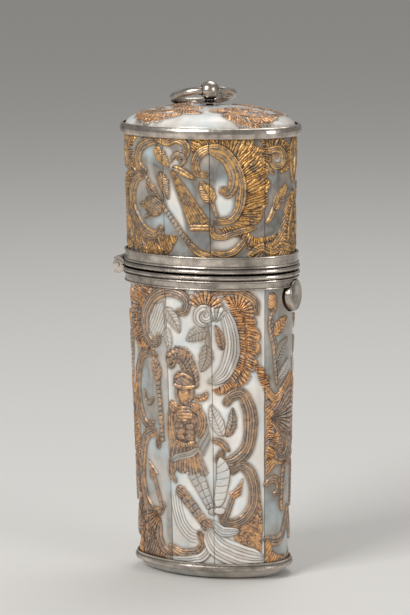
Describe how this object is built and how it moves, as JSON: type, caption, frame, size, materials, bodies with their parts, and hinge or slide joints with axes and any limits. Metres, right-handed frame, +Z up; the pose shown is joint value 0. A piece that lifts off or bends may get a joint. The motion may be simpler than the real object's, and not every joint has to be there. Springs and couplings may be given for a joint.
{
  "type": "sewing etui",
  "caption": "Oval tapered sewing case of carved gilt pearl staves in silver mounts, with a hinged domed lid, push-button latch, hanging ring and fitted sewing tools.",
  "frame": {"origin": "middle of the flat foot that the case stands on", "axes": "+Z up along the case, +X along the oval's long axis from the hinge to the button, -Y towards the side that the picture shows"},
  "size_m": [0.0395, 0.026, 0.102],
  "materials": {
    "pearl": "polished",
    "silver": "worn polish",
    "carcass_wood": "raw",
    "velvet": "pile",
    "steel": "polished",
    "bone": "satin"
  },
  "bodies": {
    "case": {"base_slab": "pearl", "foot_rim": "silver", "case_core": "carcass_wood", "case_stave_button_end": "pearl", "case_stave_back_right": "pearl", "case_stave_back_middle": "pearl", "case_stave_back_left": "pearl", "case_stave_hinge_end": "pearl", "case_stave_front_left": "pearl", "case_stave_front_middle": "pearl", "case_stave_front_right": "pearl", "case_rim": "silver", "inner_collar": "silver", "tool_block": "carcass_wood", "block_velvet": "velvet", "hinge_pin": "steel", "latch_spring": "steel", "spring_rivet": "steel"},
    "lid": {"lid_core": "carcass_wood", "lid_stave_button_end": "pearl", "lid_stave_back_right": "pearl", "lid_stave_back_middle": "pearl", "lid_stave_back_left": "pearl", "lid_stave_hinge_end": "pearl", "lid_stave_front_left": "pearl", "lid_stave_front_middle": "pearl", "lid_stave_front_right": "pearl", "lid_rim": "silver", "top_rim": "silver", "lid_slab": "pearl", "lid_lining": "velvet", "lid_catch": "silver", "finial": "silver", "finial_collet": "silver", "finial_washer": "silver"},
    "button": {"push_button": "silver"},
    "ring": {"hanging_ring": "silver"},
    "needle_case": {"needle_case": "bone"},
    "needle_cap": {"needle_case_cap": "bone"},
    "bodkin": {"bodkin": "silver"},
    "stiletto": {"stiletto_handle": "bone", "stiletto_spike": "steel"},
    "tambour": {"tambour_handle": "bone", "tambour_hook": "steel"}
  },
  "joints": [
    {"name": "lid_hinge", "type": "hinge", "parent": "case", "child": "lid", "pos_m": [-0.0192, 0, 0.06385], "axis": [0, -1, 0], "range_deg": [0, 105]},
    {"name": "button_press", "type": "slide", "parent": "case", "child": "button", "axis": [-1, 0, 0], "range_m": [0, 0.0007], "stiffness_N_per_m": 800, "deforming": ["latch_spring"]},
    {"name": "ring_swing", "type": "hinge", "parent": "lid", "child": "ring", "pos_m": [0, 0, 0.09999], "axis": [0.8192, 0.5736, 0], "range_deg": [0, 212]},
    {"name": "needle_case_lift", "type": "slide", "parent": "case", "child": "needle_case", "axis": [0, 0, 1], "range_m": [0, 0.012]},
    {"name": "needle_cap_pull", "type": "slide", "parent": "needle_case", "child": "needle_cap", "axis": [0, 0, 1], "range_m": [0, 0.006]},
    {"name": "bodkin_lift", "type": "slide", "parent": "case", "child": "bodkin", "axis": [0, 0, 1], "range_m": [0, 0.018]},
    {"name": "stiletto_lift", "type": "slide", "parent": "case", "child": "stiletto", "axis": [0, 0, 1], "range_m": [0, 0.02]},
    {"name": "tambour_lift", "type": "slide", "parent": "case", "child": "tambour", "axis": [0, 0, 1], "range_m": [0, 0.02]}
  ]
}
